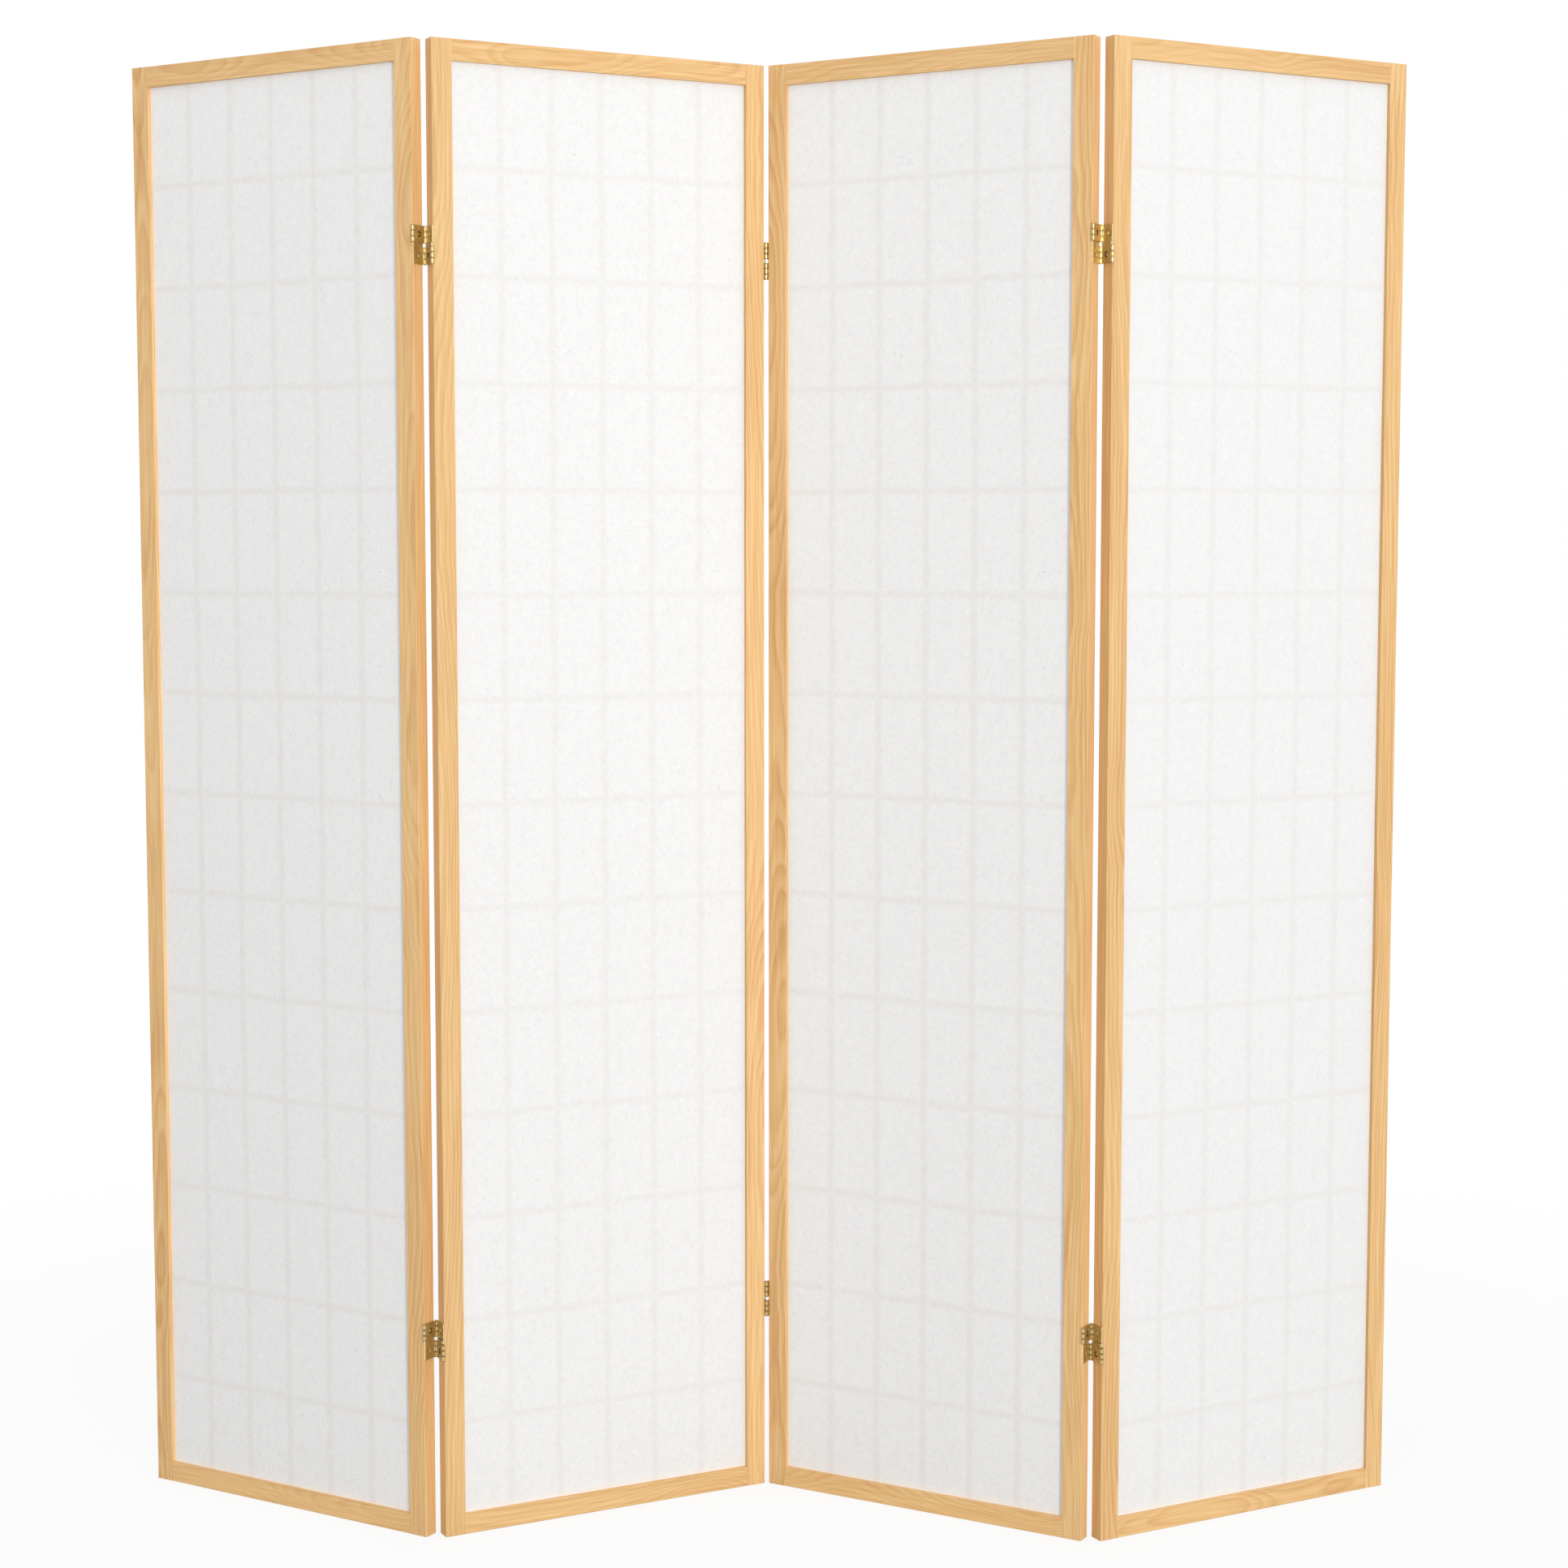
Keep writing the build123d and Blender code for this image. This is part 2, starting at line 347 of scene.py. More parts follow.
def wood(board, panel, pith, seed, level=False):
    """Clear softwood: ring lines about a pith, streaks, fine fibres and a slow drift of tone.

    The pith is given across the grain, in the panel's own directions.
    """
    tree = Tree(f"{board}_wood")
    place = tree.place(panel)
    if level:
        place = tree.moved(place, turn=LEVEL_GRAIN)
    rings = tree.ramp(ring_places(tree, place, pith, seed, level), WOOD_RINGS)
    drift = tree.noise(tree.moved(place, DRIFT_SCALE, (seed, seed, DRIFT_STEP * seed)), 1.0, DRIFT_DETAIL)
    figure = tree.mix(tree.map(drift, NOISE_CORE, CALM[level]), rings, WOOD_MIDDLE)
    grain = tree.strayed(place, seed, *STREAK_WAVES)
    streaks = tree.noise(tree.moved(grain, STREAK_STRETCH, (0, 0, seed)), STREAK_SCALE)
    fibres = tree.noise(tree.moved(grain, FIBRE_STRETCH), *FIBRE_NOISE)
    mixed = tree.mean(*zip(GRAIN_SHARES, (streaks, fibres, drift)))
    streaked = tree.mix(tree.map(mixed, GRAIN_SPAN, (0, 1)), STREAK_DARK, STREAK_LIGHT)
    grained = tree.mix(1.0, figure, streaked, "MULTIPLY")
    # the board's own tone, with painted light and shade on its sides and underside
    tree.set("Base Color", tree.shade(grained, board_tone_and_painted_light(tree, board, panel)))
    tree.set("Roughness", tree.map(fibres, NOISE_SPAN, WOOD_ROUGHNESS))
    tree.set("Specular IOR Level", WOOD_SPECULAR)
    tree.bump(fibres, FIBRE_DEPTH)
    return tree.material


PAPER_WHITE = tone(0.944, 0.941, 0.935)
# painted shadow of the lattice bars behind the paper, warmed where the wood shows through
PAPER_IN_LATTICE_SHADOW = tone(0.903, 0.884, 0.861)
PAPER_HAIR = tone(0.82, 0.80, 0.78)
PAPER_FLECK = tone(0.84, 0.83, 0.82)
PAPER_SPECK = tone(0.62, 0.61, 0.60)
PAPER_TONES = {1: 1.015, 2: 1.0, 3: 0.99, 4: 0.975}  # of each panel's sheet
PAPER_ROUGHNESS = (0.82, 0.92)
PAPER_SPECULAR = 0.2
LATTICE_SHADOW_SHOWS = {1: 1.05, 2: 0.82, 3: 1.05, 4: 0.82}  # how clearly the painted shadow of the lattice shows through each sheet
LATTICE_WAVER = 0.004
LATTICE_WAVER_SCALE = 16.0
UPRIGHT_FADE = (0.0005, 0.0079)  # from the middle of a bar, where its shade begins to go and is gone
CROSSBAR_FADE = (0.0003, 0.0076)
UPRIGHTS_SHOW = (1.0, 0.8)  # behind thin and behind thick paper
CROSSBARS_SHOW = (0.6, 1.0)
CLOUD_STRETCH = (1, 1, 0.45)
CLOUD_SCALE = 90.0
CLOUD_TONES = (0.990, 1.008)
PULP_STRETCH = (1, 1, 0.35)
PULP_LEAN = (0, 0.1, 0)
PULP_NOISE = (620.0, 3.0, 0.6)  # scale, detail and roughness
PULP_TONES = (0.966, 1.034)
PULP_DEPTH = 0.00008
FLECK_STRETCH = (1, 1, 0.45)
FLECK_LEAN = (0, -0.25, 0)
FLECK_SCALE = 400.0
FLECK_SPAN = (0.52, 0.78)
FLECK_STRENGTH = 0.5
TINT_NOISE = (130.0, 4.0, 0.6)
PAPER_TINTS = 0.12  # how far a stain takes each of red, green and blue
PAPER_FOOT = (0.04, 0.24)  # heights between which the crowding near the foot ends
SPECK_SHIFT = (0, 0.3, 0)
SPECK_SCALE = 250.0
SPECK_SPAN = (0.70, 0.76)
SPECK_STRENGTH = 0.7
SPECK_GROUPS = (11.0, 0.10)  # scale, and how much more crowded they are at the foot
SPECK_GROUP_SPAN = (0.58, 0.66)
HAIR_STRETCH = (1, 1, 0.5)
HAIR_LEAN = (0, 0.35, 0)
HAIR_SCALE = 30.0
HAIR_WIDTH = 0.006  # in the noise's own values
HAIR_STRENGTH = 0.7
HAIR_GROUPS = (34.0, 0.05)
HAIR_GROUP_SPAN = (0.60, 0.70)


def bar_shade(tree, along, first, pitch, fade):
    """1 in front of each lattice bar and 0 between them; fade is where it begins and ends."""
    turns = tree.math("ADD", tree.math("DIVIDE", tree.math("SUBTRACT", along, first), pitch), 0.5)
    distance = tree.math("ABSOLUTE", tree.math("SUBTRACT", tree.math("FRACT", turns), 0.5))
    near, far = (reach / pitch for reach in fade)
    return tree.map(distance, (near, far), (1, 0), smooth=True)


def lattice_shade(tree, place, cloud):
    """How strongly the painted shadow of the bars shows, wavering with the paper: the crossbars stand a
    little off it.
    """
    waver = tree.vector("SCALE", tree.push(place, LATTICE_WAVER_SCALE), factor=LATTICE_WAVER)
    parts = tree.add("ShaderNodeSeparateXYZ", {"Vector": tree.vector("ADD", place, waver)}).outputs
    uprights = bar_shade(tree, parts["X"], 0.0, LATTICE_PITCH_ACROSS, UPRIGHT_FADE)
    crossbars = bar_shade(tree, parts["Z"], TOP_CROSSBAR, LATTICE_PITCH_UP, CROSSBAR_FADE)
    faint = tree.math("MULTIPLY", crossbars, tree.map(cloud, NOISE_CORE, CROSSBARS_SHOW))
    strong = tree.math("MULTIPLY", uprights, tree.map(cloud, NOISE_CORE, UPRIGHTS_SHOW))
    return tree.math("MAXIMUM", strong, faint)


def paper_finish(number, panel):
    """Fibre paper: the lattice's painted shadow shows on it, warmed by the wood behind, and flecks and
    long hairs lie in its pulp.

    A panel's turn also serves as the seed that sets its sheet's noise apart from the others'.
    """
    tree = Tree(f"paper_{number}")
    place = tree.place(panel)
    seed = panel.turn
    cloud = tree.noise(tree.moved(place, CLOUD_STRETCH, (0, 0, seed)), CLOUD_SCALE)
    # painted shadow of the lattice on the paper
    lattice_shadow = tree.math("MULTIPLY", lattice_shade(tree, place, cloud), LATTICE_SHADOW_SHOWS[number])
    lattice = tree.mix(lattice_shadow, PAPER_WHITE, PAPER_IN_LATTICE_SHADOW)
    pulp = tree.noise(tree.moved(place, PULP_STRETCH, (seed, 0, 0), PULP_LEAN), *PULP_NOISE)
    dense = tree.map(pulp, NOISE_SPAN, [PAPER_TONES[number] * share for share in PULP_TONES])
    thickness = tree.math("MULTIPLY", dense, tree.map(cloud, NOISE_SPAN, CLOUD_TONES))
    body = stained(tree, place, tree.shade(lattice, thickness))
    fleck = tree.noise(tree.moved(place, FLECK_STRETCH, (0, seed, 0), FLECK_LEAN), FLECK_SCALE)
    flecked = tree.mix(tree.map(fleck, FLECK_SPAN, (0, FLECK_STRENGTH)), body, PAPER_FLECK)
    specked = tree.mix(paper_specks(tree, place), flecked, PAPER_SPECK)
    tree.set("Base Color", tree.mix(paper_hairs(tree, place), specked, PAPER_HAIR))
    tree.set("Roughness", tree.map(pulp, NOISE_SPAN, PAPER_ROUGHNESS))
    tree.set("Specular IOR Level", PAPER_SPECULAR)
    tree.bump(pulp, PULP_DEPTH)
    return tree.material


def stained(tree, place, colour):
    """A colour with faint stains of every hue, as pulp has."""
    stains = tree.vector("SCALE", tree.push(place, *TINT_NOISE), factor=PAPER_TINTS)
    tint = tree.vector("ADD", stains, (1, 1, 1))
    return tree.mix(1.0, colour, tint, "MULTIPLY")


def crowded(tree, place, scale, more):
    """Noise that says where the dark fibres gather: in groups, and more of them near the foot."""
    height = tree.add("ShaderNodeSeparateXYZ", {"Vector": place}).outputs["Z"]
    low = tree.map(height, PAPER_FOOT, (more, 0), smooth=True)
    return tree.math("ADD", tree.noise(place, scale, 1.0), low)


def paper_specks(tree, place):
    """Where a dark speck of bark lies in the paper, from 0 to 1: a few, in loose groups."""
    grit = tree.noise(tree.moved(place, shift=SPECK_SHIFT), SPECK_SCALE, 1.0)
    speck = tree.map(grit, SPECK_SPAN, (0, SPECK_STRENGTH))
    group = tree.map(crowded(tree, place, *SPECK_GROUPS), SPECK_GROUP_SPAN, (0, 1))
    return tree.math("MULTIPLY", speck, group)


def paper_hairs(tree, place):
    """Where a long dark hair of bast lies in the paper, from 0 to 1."""
    strand = tree.noise(tree.moved(place, HAIR_STRETCH, turn=HAIR_LEAN), HAIR_SCALE)
    beside = tree.math("ABSOLUTE", tree.math("SUBTRACT", strand, 0.5))
    line = tree.map(beside, (0, HAIR_WIDTH), (1, 0))
    where = tree.map(crowded(tree, place, *HAIR_GROUPS), HAIR_GROUP_SPAN, (0, HAIR_STRENGTH))
    return tree.math("MULTIPLY", line, where)


BRASS_BRIGHT = tone(0.96, 0.84, 0.50)
BRASS_BARREL = tone(0.62, 0.49, 0.24)
BRASS_SCREW = tone(0.80, 0.66, 0.38)
BRASS_FILMED = tone(0.67, 0.52, 0.27)
BRASS_DULL = tone(0.56, 0.41, 0.20)
# colour of the painted shade in the gaps round the screws and between the knuckles
BRASS_IN_GAP_SHADE = tone(0.27, 0.19, 0.09)
WORN_FROM = 0.0082  # distance from a panel's middle plane
WORN_WHOLLY = 0.0090
BARREL_FROM = 0.0096
SCREW_GAP_SHADE = (0.0034, 0.0037)  # from a screw's middle, where its ring of painted shade begins to go and is gone
KNUCKLE_TURN = 0.0025  # height of the lowest knuckle's end from the middle of a hinge
KNUCKLE_PITCH = 0.00667
KNUCKLE_GAP_SHADE = (0.0004, 0.0017)  # the same from a joint between knuckles
POLISH_STRETCH = (1, 1, 0.06)
POLISH_SCALE = 2400.0
POLISH_TONES = (0.93, 1.05)
POLISH_DEPTH = 0.00002
POLISH_ROUGHNESS = (0.16, 0.26)
BRASS_CLOUD = (260.0, 3.0)  # scale and detail
FILM_NOISE = (150.0, 4.0, 0.6)  # scale, detail and roughness
FILM_SPAN = (0.40, 0.62)
FILM_ROUGHNESS = (0.30, 0.42)
WORN_SMOOTHER = 0.14


def polished(tree, place, colour):
    """A metal's colour with fine polishing marks, which its surface has too."""
    marks = tree.noise(tree.moved(place, POLISH_STRETCH), POLISH_SCALE)
    tree.set("Metallic", 1.0)
    tree.bump(marks, POLISH_DEPTH)
    return tree.shade(colour, tree.map(marks, NOISE_SPAN, POLISH_TONES))


def brass(name, colour):
    """Bright plated brass."""
    tree = Tree(name)
    place = tree.place()
    tree.set("Base Color", polished(tree, place, colour))
    tree.set("Roughness", tree.map(tree.noise(place, *BRASS_CLOUD), NOISE_SPAN, POLISH_ROUGHNESS))
    return tree.material


def gap_shade(tree, depth, on_barrel, from_hinge):
    """Painted shade in the gap round each screw and between the knuckles, from 0 to 1."""
    from_screw = tree.math("SUBTRACT", from_hinge, SCREW_HEIGHT)
    spot = tree.add("ShaderNodeCombineXYZ", {"X": depth, "Y": from_screw}).outputs[0]
    round_screw = tree.map(tree.vector("LENGTH", spot), SCREW_GAP_SHADE, (1, 0))
    knuckles = tree.math("DIVIDE", tree.math("SUBTRACT", from_hinge, KNUCKLE_TURN), KNUCKLE_PITCH)
    past = tree.math("SUBTRACT", tree.math("FRACT", tree.math("ADD", knuckles, 0.5)), 0.5)
    from_joint = tree.math("MULTIPLY", tree.math("ABSOLUTE", past), KNUCKLE_PITCH)
    joint = tree.map(from_joint, KNUCKLE_GAP_SHADE, (1, 0), smooth=True)
    return tree.math("MAXIMUM", round_screw, tree.math("MULTIPLY", joint, on_barrel))


def hinge_brass(panel, hinge_levels):
    """Plated brass, filmed over on the plates and worn bright on edges and barrels, with painted shade
    round the screws and between the knuckles.

    The hinge levels are the heights of the middles of the panel's hinges.
    """
    tree = Tree(f"hinge_brass_{panel.body}")
    place = tree.place(panel)
    parts = tree.add("ShaderNodeSeparateXYZ", {"Vector": place}).outputs
    low, high = hinge_levels
    depth = tree.math("ABSOLUTE", tree.math("SUBTRACT", parts["Y"], panel.middle_y))
    from_middle = tree.math("ABSOLUTE", tree.math("SUBTRACT", parts["Z"], (low + high) / 2))
    from_hinge = tree.math("ABSOLUTE", tree.math("SUBTRACT", from_middle, (high - low) / 2))
    film = tree.noise(place, *FILM_NOISE)
    plate = tree.mix(tree.map(film, FILM_SPAN, (0, 1), smooth=True), BRASS_FILMED, BRASS_DULL)
    worn = tree.map(depth, (WORN_FROM, WORN_WHOLLY), (0, 1), smooth=True)
    on_barrel = tree.map(depth, (WORN_WHOLLY, BARREL_FROM), (0, 1))
    plain = tree.mix(on_barrel, tree.mix(worn, plate, BRASS_BRIGHT), BRASS_BARREL)
    marked = polished(tree, place, plain)
    # painted shade round the screws and between the knuckles
    tree.set("Base Color", tree.mix(gap_shade(tree, depth, on_barrel, from_hinge), marked, BRASS_IN_GAP_SHADE))
    dull = tree.map(film, NOISE_SPAN, FILM_ROUGHNESS)
    tree.set("Roughness", tree.math("SUBTRACT", dull, tree.math("MULTIPLY", worn, WORN_SMOOTHER)))
    return tree.material


def give(node, material):
    """A CAD node's slots take a finish."""
    for place in frame["nodes"][node].material_slots:
        place.material = material


def finish_stiles(number, panel):
    """Upright boards, with the pith at another side of each."""
    aside, behind = STILE_PITH
    for i, part in enumerate(("stile_left", "stile_right")):
        low, high = panel.extent(part)
        middle = (low + high) / 2
        seed = 2 * number + i
        turn = PITH_TURN * seed
        sway = STILE_PITH_SWAY * math.sin(turn)
        pith = (middle.x + aside * math.cos(turn), middle.y + behind + sway)
        give(panel.node(part), wood(f"{part}_{number}", panel, pith, seed))


def finish_rails(number, panel):
    """Level boards, with the pith above or below the middle of each."""
    aside, behind = RAIL_PITH
    for part in ("rail_top", "rail_bottom"):
        low, high = panel.extent(part)
        middle = (low + high) / 2
        seed = number + FIRST_SEEDS[part]
        pith = (middle.z + aside * math.cos(PITH_TURN * seed), middle.y + behind)
        give(panel.node(part), wood(f"{part}_{number}", panel, pith, seed, level=True))


def finish_lattice(number, panel):
    for part, pith in LATTICE_PITHS.items():
        seed = number + FIRST_SEEDS[part]
        bars = wood(f"{part}_{number}", panel, pith, seed, level=(part == "crossbars"))
        give(panel.node(f"lattice_{part}"), bars)


def finish_hinges():
    """Each panel's leaves, and the links that it carries, take that panel's brass."""
    bodies = frame["record"]["behaviour"]["bodies"]
    for panel in PANELS.values():
        plates = [node for node in bodies[panel.body] if node.startswith("hinge_")]
        middles = {(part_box(node)[0][2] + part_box(node)[1][2]) / 2 for node in plates if "leaf" in node}
        metal = hinge_brass(panel, (min(middles), max(middles)))
        for node in plates:
            give(node, metal)


# Pieces


def add_piece(name, mesh_maker, place, material, body):
    """A mesh object, made at a place by mesh_maker, riding on a CAD body."""
    shape = bmesh.new()
    mesh_maker(shape, place)
    bmesh.ops.recalc_face_normals(shape, faces=shape.faces)
    mesh = bpy.data.meshes.new(name)
    shape.to_mesh(mesh)
    shape.free()
    mesh.materials.append(material)
    piece = bpy.data.objects.new(name, mesh)
    bpy.context.scene.collection.objects.link(piece)
    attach(piece, body)
    return piece


def paper_height(x, z, low, high):
    """How far the paper stands forward between its held margins."""
    margin = min(x - low.x, high.x - x, z - low.z, high.z - z)
    free = max(0.0, min(1.0, (margin - PAPER_HELD) / PAPER_FREES_OVER))
    wave = noise.noise(Vector((x * PAPER_WAVES[0], 0.0, z * PAPER_WAVES[1])))
    return PAPER_RIPPLE * free * (0.5 + 0.5 * wave)


def sheet_side(shape, place, low, high, y):
    """Lines of points over one side of the paper, from its foot up."""
    columns, rows = PAPER_CELLS
    lines = []
    for row in range(rows + 1):
        z = low.z + (high.z - low.z) * row / rows
        line = []
        for column in range(columns + 1):
            x = low.x + (high.x - low.x) * column / columns
            point = Vector((x, y - paper_height(x, z, low, high), z))
            line.append(shape.verts.new(place @ point))
        lines.append(line)
    return lines


def fill_side(shape, lines):
    for below, above in zip(lines, lines[1:]):
        for i in range(len(below) - 1):
            shape.faces.new((below[i], below[i + 1], above[i + 1], above[i]))


def edge_of(lines):
    """The points round the edge of one side, in order."""
    right = [line[-1] for line in lines[1:]]
    left = [line[0] for line in lines[-2:0:-1]]
    return lines[0] + right + lines[-1][-2::-1] + left


def paper_sheet(number, panel):
    """The sheet of paper, let into the frame's groove and lying on the lattice."""
    low, high = panel.extent("paper")

    def fill(shape, place):
        front, back = (sheet_side(shape, place, low, high, y) for y in (low.y, high.y))
        fill_side(shape, front)
        fill_side(shape, back)
        join_rings(shape, edge_of(front), edge_of(back))

    finish = paper_finish(number, panel)
    sheet = add_piece(f"paper_sheet_{number}", fill, panel.to_world, finish, panel.body)
    sheet.data.shade_smooth()
    sheet.data.set_sharp_from_angle(angle=PAPER_SHARP)
    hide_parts(panel.node("paper"))
    holders = ["stile_left", "stile_right", "rail_top", "rail_bottom", "lattice_uprights"]
    [panel.node(part) for part in holders]


def ring(shape, place, radius, height, count):
    """A circle of points about a local Z axis."""
    points = []
    for i in range(count):
        angle = 2 * math.pi * i / count
        spot = Vector((radius * math.cos(angle), radius * math.sin(angle), height))
        points.append(shape.verts.new(place @ spot))
    return points


def join_rings(shape, first, second):
    for i in range(len(first)):
        shape.faces.new((first[i - 1], first[i], second[i], second[i - 1]))


def recess_outline(shape, place, height):
    """The twelve corners of a cross."""
    arm, half = RECESS_SPAN / 2, RECESS_WIDTH / 2
    quarter = ((arm, -half), (arm, half), (half, half))
    points = []
    for turn in range(4):
        c, s = round(math.cos(turn * math.pi / 2)), round(math.sin(turn * math.pi / 2))
        for x, y in quarter:
            points.append(shape.verts.new(place @ Vector((c * x - s * y, s * x + c * y, height))))
    return points


def screw_head(shape, place):
    """Raised head of a countersunk screw, with a cross recess in its crown."""
    loops = []
    for radius, height in SCREW_HEAD_PROFILE:
        loops.append(ring(shape, place, radius, height, SCREW_HEAD_SIDES))
    for outer, inner in zip(loops, loops[1:]):
        join_rings(shape, outer, inner)
    shape.faces.new(loops[0])
    crown = SCREW_HEAD_PROFILE[-1][1]
    cross = recess_outline(shape, place, crown)
    floor = recess_outline(shape, place, crown - RECESS_DEPTH)
    join_rings(shape, cross, floor)
    shape.faces.new(floor)
    edges = []
    for loop in (loops[-1], cross):
        for i in range(len(loop)):
            edges.append(shape.edges.get((loop[i - 1], loop[i])))
    bmesh.ops.triangle_fill(shape, edges=edges, use_beauty=True)


def pin_tip(shape, place):
    """Domed end of a pin, standing out of its barrel."""
    last = None
    for step in range(PIN_TIP_STEPS):
        rise = math.pi / 2 * step / PIN_TIP_STEPS
        loop = ring(shape, place, PIN_RADIUS * math.cos(rise), PIN_PROUD * math.sin(rise), PIN_TIP_SIDES)
        if last is None:
            shape.faces.new(loop)
        else:
            join_rings(shape, last, loop)
        last = loop
    crown = shape.verts.new(place @ Vector((0, 0, PIN_PROUD)))
    for i in range(len(last)):
        shape.faces.new((last[i - 1], last[i], crown))


def leaf_ends(panel, side, leaf):
    """Lowest and highest corner of a leaf's stile, with the leaf's own foot and head as their heights."""
    low, high = panel.extent("stile_right" if side == LEFT else "stile_left")
    low.z, high.z = (corner[2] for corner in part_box(leaf))
    return low, high


def outer_side(side, low, high):
    """Where a stile's outer side lies across the panel."""
    return high.x if side == LEFT else low.x


def add_screw(number, side, level, leaf, metal):
    """The head of one of a leaf's two screws."""
    panel = PANELS[number]
    low, high = leaf_ends(panel, side, leaf)
    middle = (low + high) / 2
    x = outer_side(side, low, high) - side * LEAF_THICKNESS
    seat = Matrix.Translation((x, middle.y, middle.z + level * SCREW_HEIGHT))
    outwards = Matrix.Rotation(-side * math.pi / 2, 4, "Y")
    turned = Matrix.Rotation(SCREW_TURN + SCREW_TURN_STEP * number + level, 4, "Z")
    name = leaf.replace("leaf", f"screw_{LEVEL_NAMES[level]}")
    head = add_piece(name, screw_head, panel.to_world @ seat @ outwards @ turned, metal, panel.body)
    head.data.shade_smooth()
    head.data.set_sharp_from_angle(angle=SCREW_SHARP)


def add_pin_tip(number, side, level, leaf, metal):
    """The tip of the pin in a leaf's lower or upper barrel: one is in front and one behind."""
    panel = PANELS[number]
    low, high = leaf_ends(panel, side, leaf)
    x = outer_side(side, low, high) - side * HALF_GAP
    y = low.y - AXIS_PROUD if side * level < 0 else high.y + AXIS_PROUD
    seat = Matrix.Translation((x, y, high.z if level == UPPER else low.z))
    upwards = Matrix.Rotation(0 if level == UPPER else math.pi, 4, "X")
    name = leaf.replace("leaf", f"pin_tip_{LEVEL_NAMES[level]}")
    tip = add_piece(name, pin_tip, panel.to_world @ seat @ upwards, metal, panel.body)
    tip.data.shade_smooth()


def hinge_details(fold, hinge, screw_metal, pin_metal):
    """Screw heads on both leaves of a hinge, and the tips of its pins."""
    for side, number in zip((LEFT, RIGHT), fold):
        leaf = f"hinge_{fold[0]}_{fold[1]}_{hinge}_leaf_{SIDE_NAMES[side]}"
        for level in (LOWER, UPPER):
            add_screw(number, side, level, leaf, screw_metal)
            add_pin_tip(number, side, level, leaf, pin_metal)


# Stage


def add_camera():
    data = bpy.data.cameras.new("camera")
    data.lens = CAMERA_LENS
    data.sensor_width = CAMERA_SENSOR
    camera = bpy.data.objects.new("camera", data)
    camera.location = CAMERA_PLACE
    camera.rotation_euler = (math.pi / 2 - CAMERA_DOWN, 0, -CAMERA_RIGHT)
    bpy.context.scene.collection.objects.link(camera)
    bpy.context.scene.camera = camera


def seen_directly(tree):
    """1 for rays from the camera and those that metal or glass sends on, 0 for light."""
    path = tree.nodes.new("ShaderNodeLightPath")
    total = path.outputs["Is Camera Ray"]
    for name in ("Is Glossy Ray", "Is Transmission Ray"):
        joined = tree.nodes.new("ShaderNodeMath")
        joined.operation = "MAXIMUM"
        tree.links.new(total, joined.inputs[0])
        tree.links.new(path.outputs[name], joined.inputs[1])
        total = joined.outputs[0]
    return total


def add_world():
    """White all round; it lights the object at the ambient level only."""
    world = bpy.data.worlds.new("studio")
    world.use_nodes = True
    tree = world.node_tree
    background = tree.nodes["Background"]
    background.inputs["Color"].default_value = tone(1, 1, 1)
    level = tree.nodes.new("ShaderNodeMapRange")
    level.inputs["To Min"].default_value = AMBIENT_LEVEL
    level.inputs["To Max"].default_value = 1.0
    tree.links.new(seen_directly(tree), level.inputs["Value"])
    tree.links.new(level.outputs[0], background.inputs["Strength"])
    bpy.context.scene.world = world


def add_key():
    """A soft lamp from the right of the camera."""
    data = bpy.data.lights.new("key", "AREA")
    data.shape = "DISK"
    data.size = KEY_SIZE
    lamp = bpy.data.objects.new("key", data)
    side = Vector((math.sin(KEY_AZIMUTH), -math.cos(KEY_AZIMUTH), 0))
    lamp.location = side * KEY_DISTANCE + Vector((0, 0, KEY_HEIGHT))
    way = KEY_TARGET - lamp.location
    lamp.rotation_euler = way.to_track_quat("-Z", "Y").to_euler()
    data.energy = KEY_LEVEL * math.pi**2 * way.length_squared  # gives white that faces it the key level
    lamp.visible_camera = False
    bpy.context.scene.collection.objects.link(lamp)


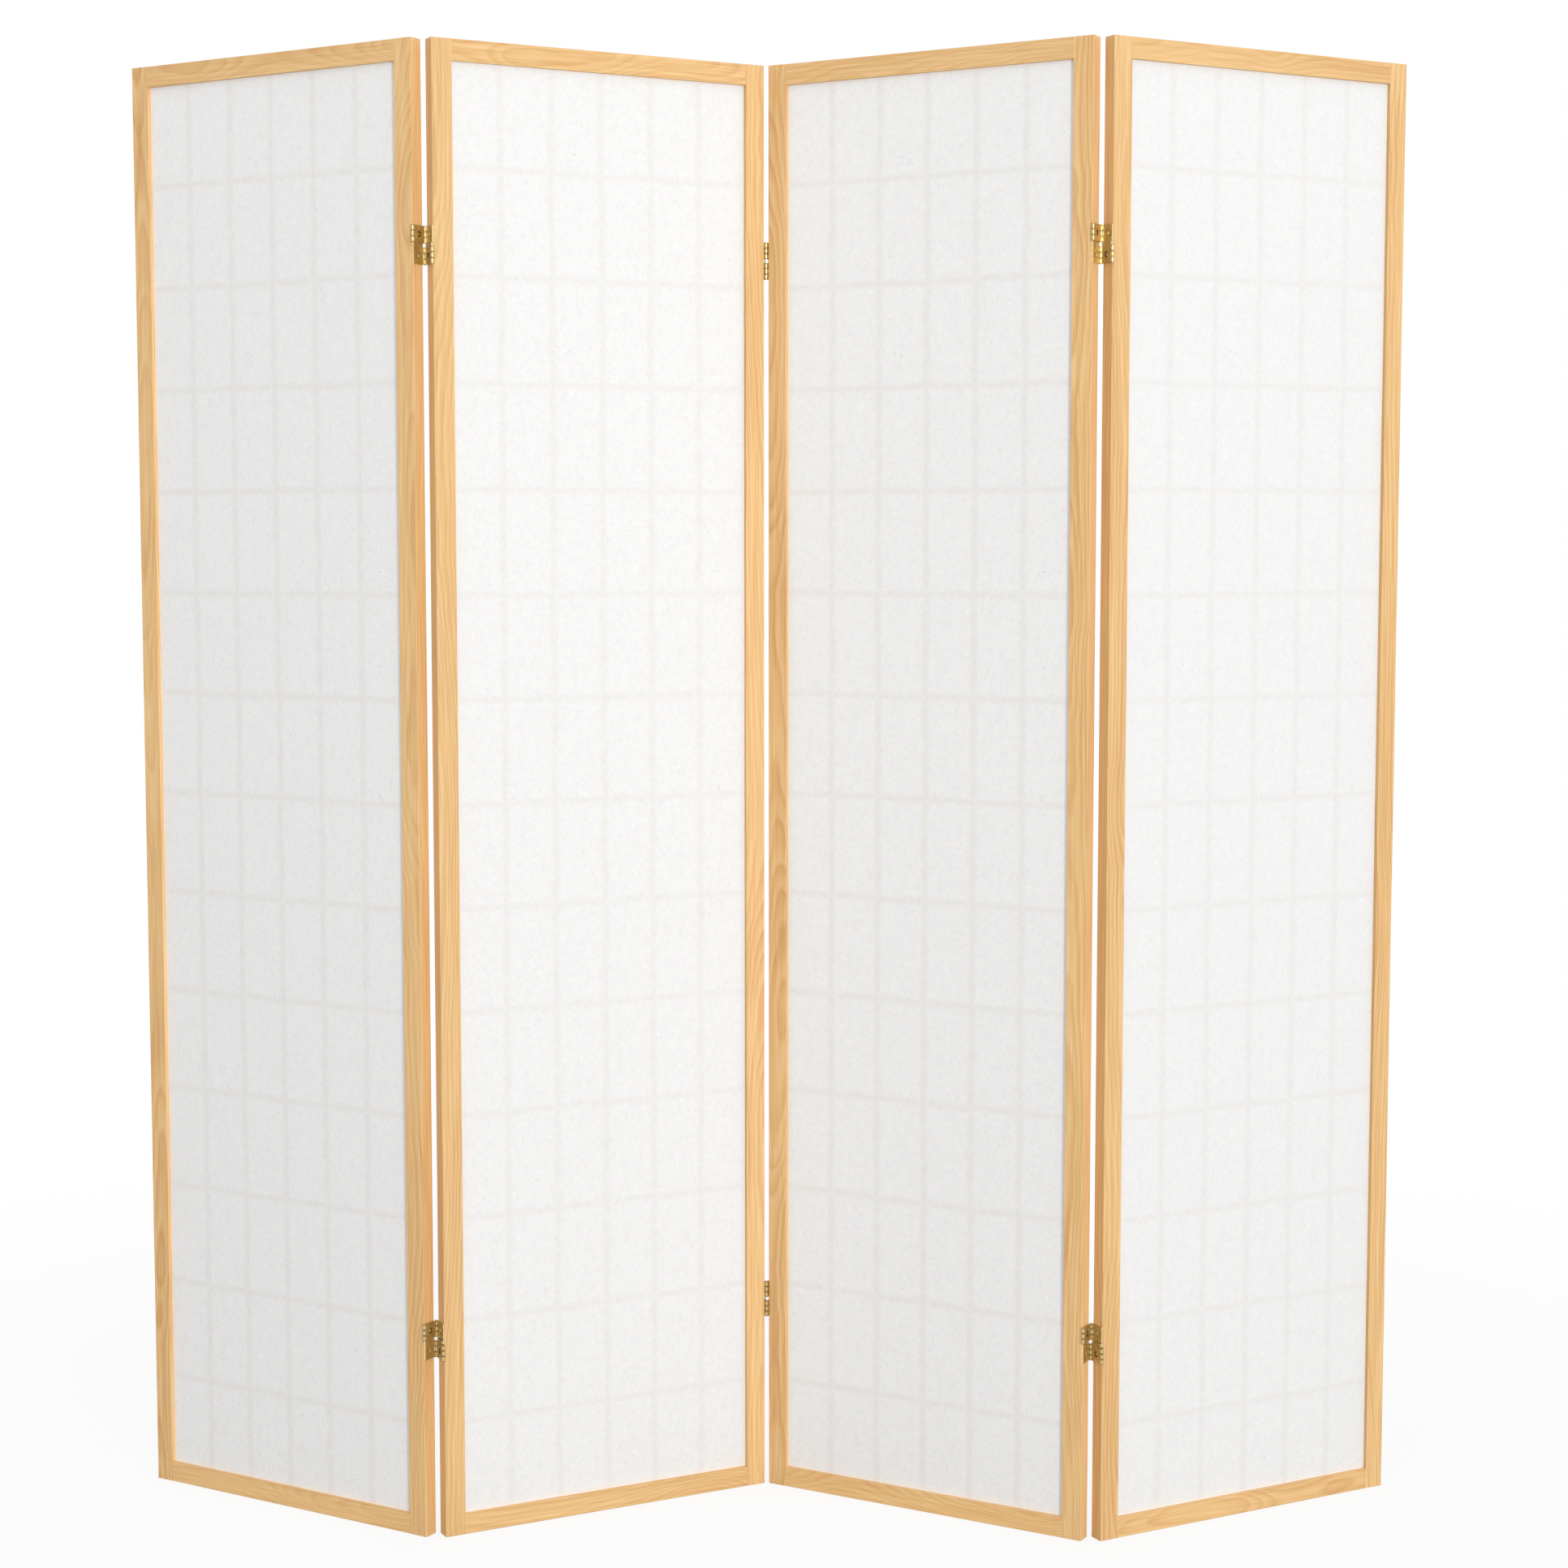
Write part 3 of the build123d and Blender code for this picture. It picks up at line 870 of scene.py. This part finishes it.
def floor_finish():
    """Pale floor that fades into the white round about and keeps the object's shadow."""
    tree = Tree("floor")
    place = tree.place()
    distance = tree.vector("LENGTH", place)
    seen = seen_directly(tree.tree)
    grain = tree.map(tree.noise(place, FLOOR_GRAIN_SCALE), NOISE_SPAN, FLOOR_GRAIN)
    grey = tone(FLOOR_GREY, FLOOR_GREY, FLOOR_GREY)
    tree.set("Base Color", tree.shade(tree.mix(seen, grey, tone(1, 1, 1)), grain))
    tree.set("Roughness", FLOOR_ROUGHNESS)
    tree.set("Specular IOR Level", 0.0)
    glow = tree.add("ShaderNodeEmission", {"Color": tone(1, 1, 1), "Strength": 1.0}).outputs[0]
    share = tree.math("MULTIPLY", seen, FLOOR_WHITENED)
    lifted = tree.add("ShaderNodeMixShader", {0: share, 1: tree.shader.outputs[0], 2: glow})
    clear = tree.add("ShaderNodeBsdfTransparent", {}).outputs[0]
    far = tree.math("MULTIPLY", tree.map(distance, FLOOR_FADE, (0, 1), smooth=True), seen)
    faded = tree.add("ShaderNodeMixShader", {0: far, 1: lifted.outputs[0], 2: clear})
    tree.tree.links.new(faded.outputs[0], tree.tree.nodes["Material Output"].inputs["Surface"])
    return tree.material


def add_floor():
    shape = bmesh.new()
    bmesh.ops.create_circle(shape, cap_ends=True, radius=FLOOR_RADIUS, segments=FLOOR_SIDES)
    mesh = bpy.data.meshes.new("floor")
    shape.to_mesh(mesh)
    shape.free()
    mesh.materials.append(floor_finish())
    floor = bpy.data.objects.new("floor", mesh)
    floor.location.z = -FLOOR_DROP
    bpy.context.scene.collection.objects.link(floor)


add_camera()
add_world()
add_key()
add_floor()
bpy.context.scene.view_settings.view_transform = "Standard"

for panel_number, each_panel in PANELS.items():
    finish_stiles(panel_number, each_panel)
    finish_rails(panel_number, each_panel)
    finish_lattice(panel_number, each_panel)
    paper_sheet(panel_number, each_panel)

finish_hinges()
screw_brass = brass("screw_heads", BRASS_SCREW)
pin_brass = brass("pin_tips", BRASS_BRIGHT)
for hinge_fold in FOLDS:
    for hinge_name in HINGES:
        hinge_details(hinge_fold, hinge_name, screw_brass, pin_brass)
